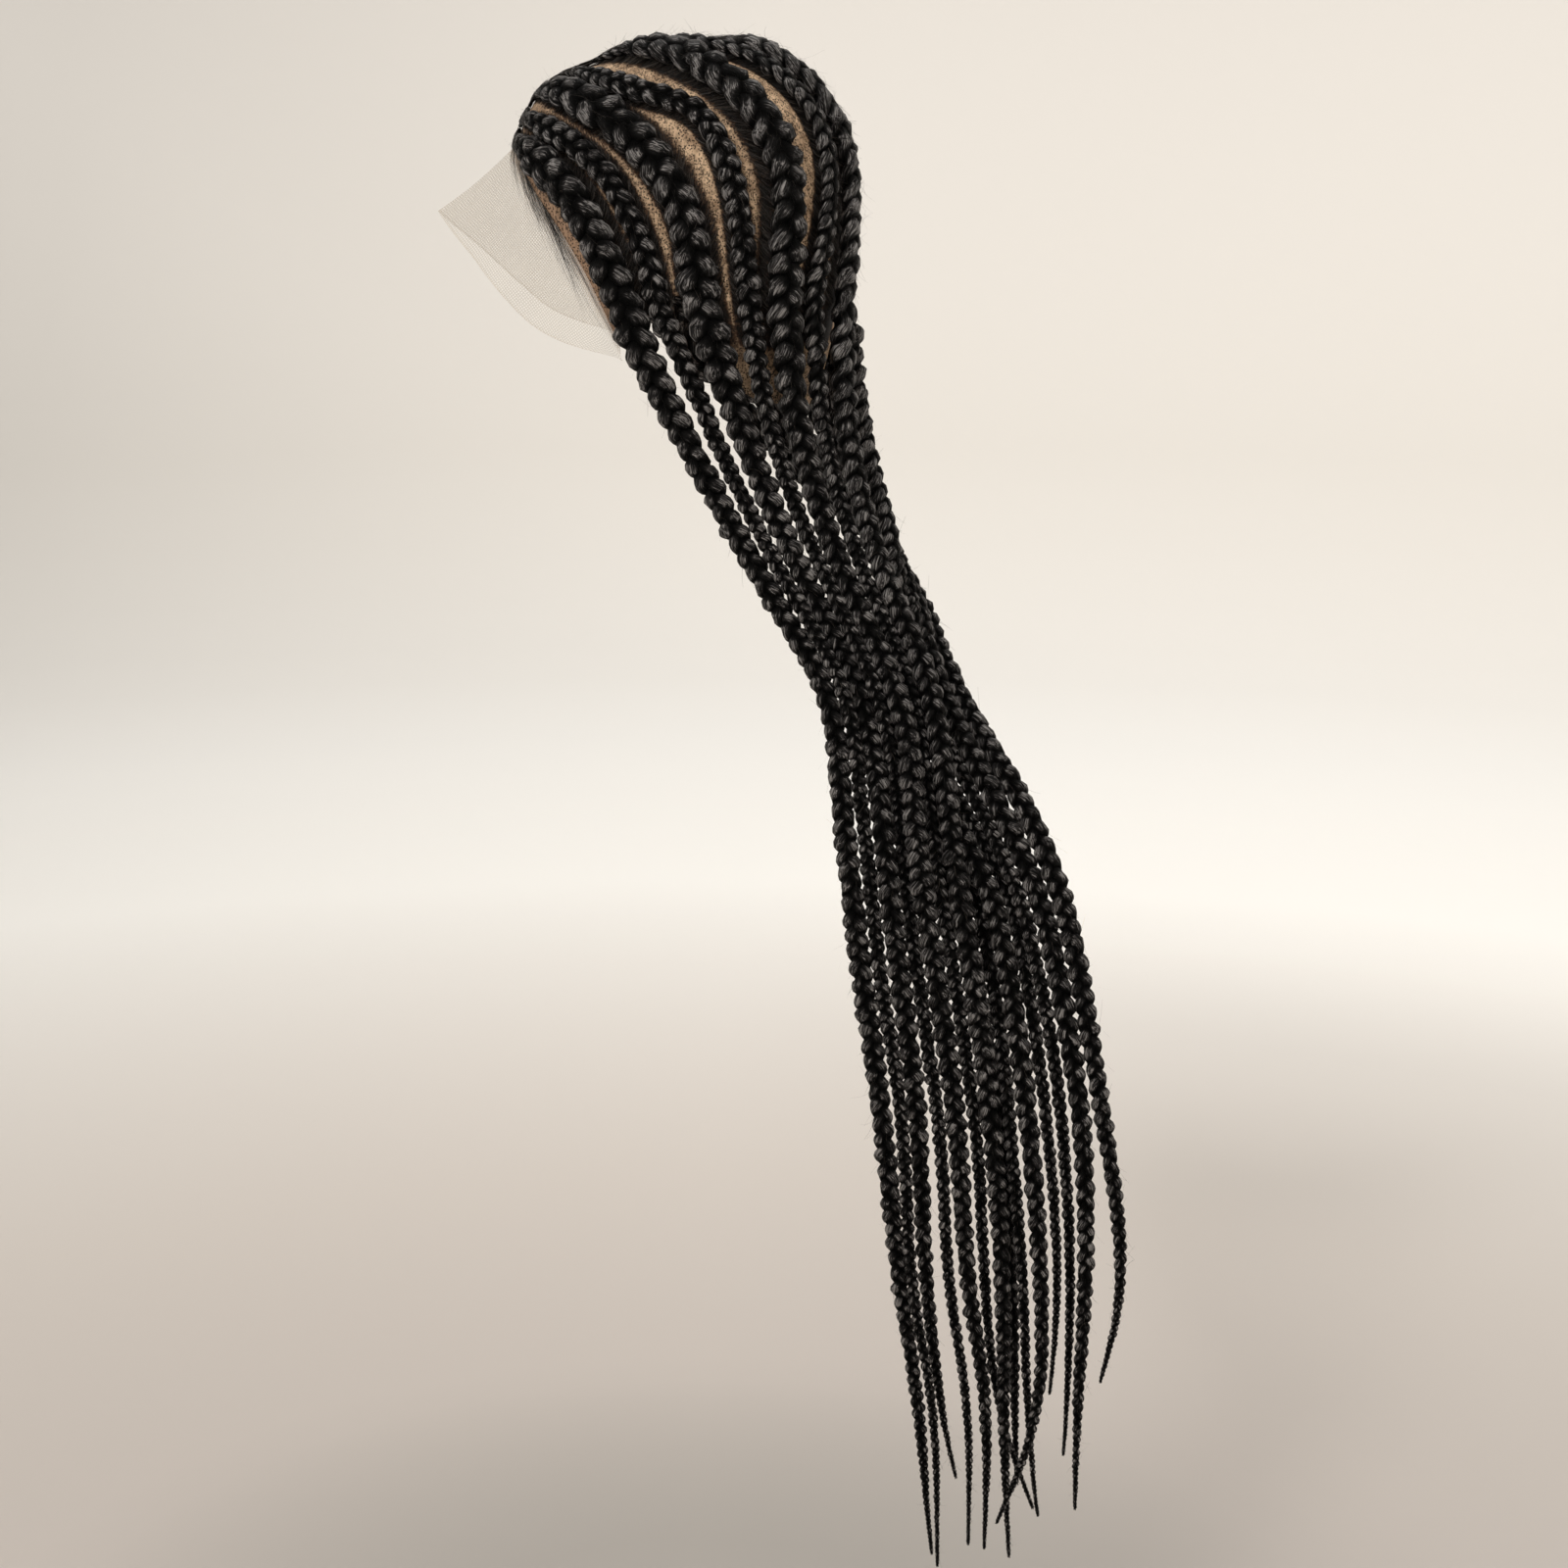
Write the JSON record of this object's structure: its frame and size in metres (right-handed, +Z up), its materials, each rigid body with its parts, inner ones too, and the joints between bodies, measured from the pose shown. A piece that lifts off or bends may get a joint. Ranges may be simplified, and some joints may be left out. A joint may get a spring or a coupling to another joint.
{
  "type": "braided lace wig",
  "caption": "Long black plaited wig: cornrows fed in from a centre parting on a hollow lace cap, hanging as tapering plaits swept to one side, with uncut lace at the brow.",
  "frame": {"origin": "inner crown of the cap, where the top of the wearer's head touches it", "axes": "+Z up, -Y the way the face looks, +X the wearer's left, the side to which the plaits are swept"},
  "size_m": [0.2149, 0.422, 0.9442],
  "materials": {
    "scalp_lace": "fine tan lace with dark hand-tied knots",
    "sheer_lace": "sheer ecru hexagonal net",
    "plaited_hair": "black synthetic hair fibre, three-strand plaits with a soft sheen"
  },
  "bodies": {
    "root": {"lace_cap": "scalp_lace", "lace_front": "sheer_lace", "braid_left_1": "plaited_hair", "braid_left_2": "plaited_hair", "braid_left_3": "plaited_hair", "braid_left_4": "plaited_hair", "braid_left_5": "plaited_hair", "braid_left_6": "plaited_hair", "braid_left_7": "plaited_hair", "braid_right_1": "plaited_hair", "braid_right_2": "plaited_hair", "braid_right_3": "plaited_hair", "braid_right_4": "plaited_hair", "braid_right_5": "plaited_hair", "braid_right_6": "plaited_hair", "braid_right_7": "plaited_hair"}
  },
  "joints": []
}
